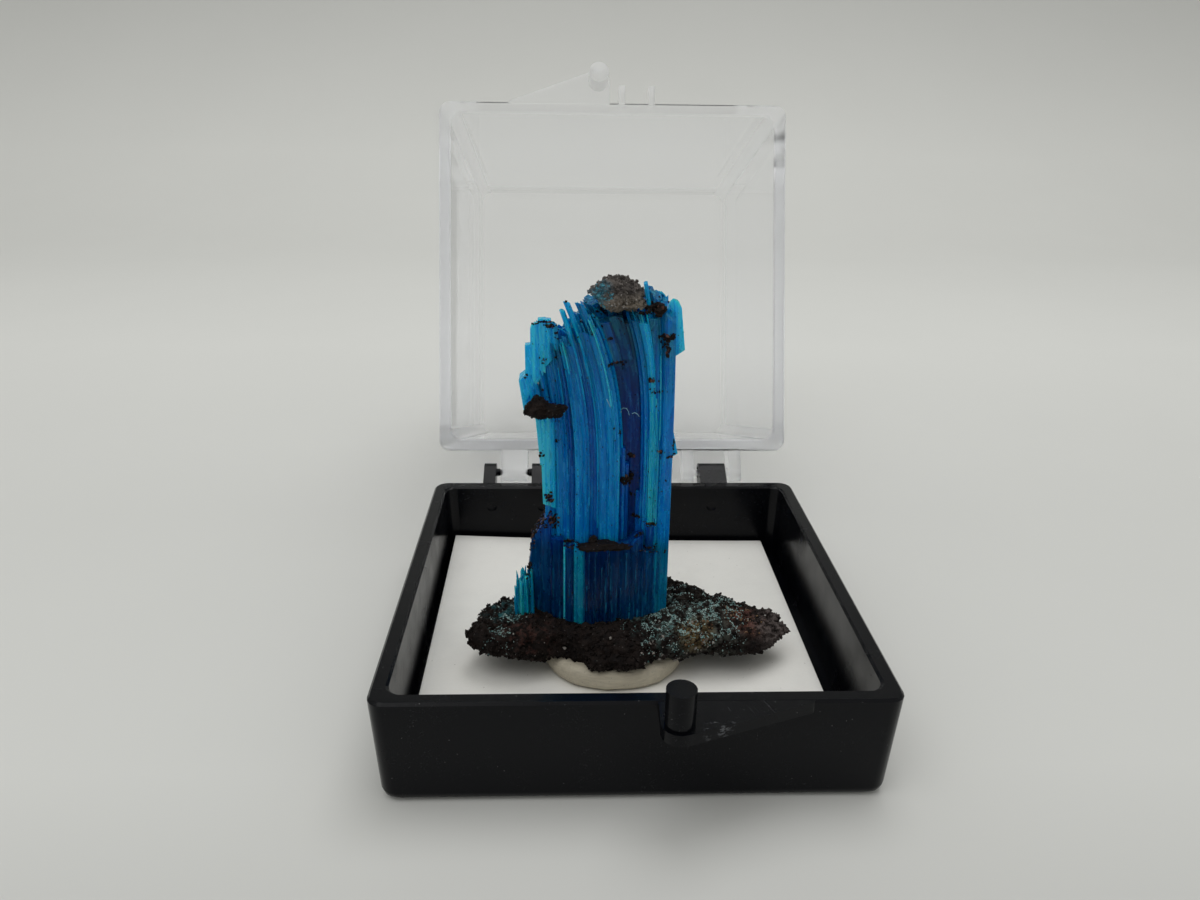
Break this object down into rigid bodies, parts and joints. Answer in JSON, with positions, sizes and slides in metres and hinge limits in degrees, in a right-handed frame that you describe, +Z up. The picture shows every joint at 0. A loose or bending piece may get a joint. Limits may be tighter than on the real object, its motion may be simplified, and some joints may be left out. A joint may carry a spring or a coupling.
{
  "type": "mineral specimen in a hinged display box",
  "caption": "Blue fibrous chalcanthite on dark matrix, set in putty on a white card in a small black tray with a clear hinged lid.",
  "frame": {"origin": "centre of the tray's underside, on the surface the box stands on", "axes": "+Z up, +Y towards the hinge and the open lid, +X to the right as seen from the front pegs"},
  "size_m": [0.05, 0.1162, 0.0671],
  "materials": {
    "black_plastic": "glossy moulded black with light scuffs",
    "clear_plastic": "clear polished moulding",
    "card": "matt off-white card",
    "putty": "matt grey-beige putty with press marks",
    "dark_rock": "rough black-brown rock with turquoise dusting",
    "brown_rock": "granular grey-brown rock",
    "chalcanthite": "translucent blue, vitreous, finely striated"
  },
  "bodies": {
    "tray": {"tray": "black_plastic", "white_card": "card", "putty_pad": "putty", "matrix_rock": "dark_rock", "crystal_bundle": "chalcanthite", "rock_cap": "brown_rock", "rock_chip": "dark_rock"},
    "lid": {"lid": "clear_plastic"}
  },
  "joints": [
    {"name": "lid_hinge", "type": "hinge", "parent": "tray", "child": "lid", "pos_m": [0, 0.0281, 0.012], "axis": [1, 0, 0], "range_deg": [0, 110.6]}
  ]
}
